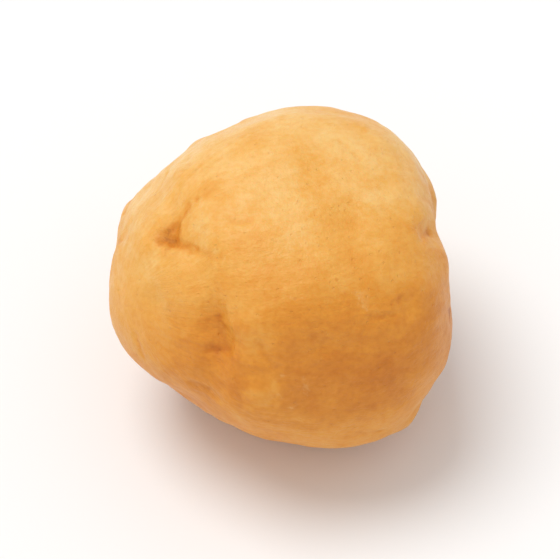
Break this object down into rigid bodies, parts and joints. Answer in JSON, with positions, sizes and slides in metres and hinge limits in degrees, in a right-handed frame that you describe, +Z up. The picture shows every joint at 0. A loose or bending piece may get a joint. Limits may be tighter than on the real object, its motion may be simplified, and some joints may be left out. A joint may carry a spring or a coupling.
{
  "type": "macadamia nut kernel",
  "caption": "Shelled, roasted macadamia kernel: a rounded seed with soft flats, a blunt beak inside a shallow collar, a small pit, and a broad base, lying on a small flat spot.",
  "frame": {"origin": "on the surface the kernel rests on, under the middle of its outline seen from above", "axes": "+Z up; the beak points to -X, turned a little to -Y and upwards; the broad base faces +X; -Y is the front"},
  "size_m": [0.0184, 0.019, 0.0179],
  "materials": {
    "kernel": "satin, warm golden roasted nut flesh, paler above and browner below"
  },
  "bodies": {
    "root": {"kernel": "kernel"}
  },
  "joints": []
}
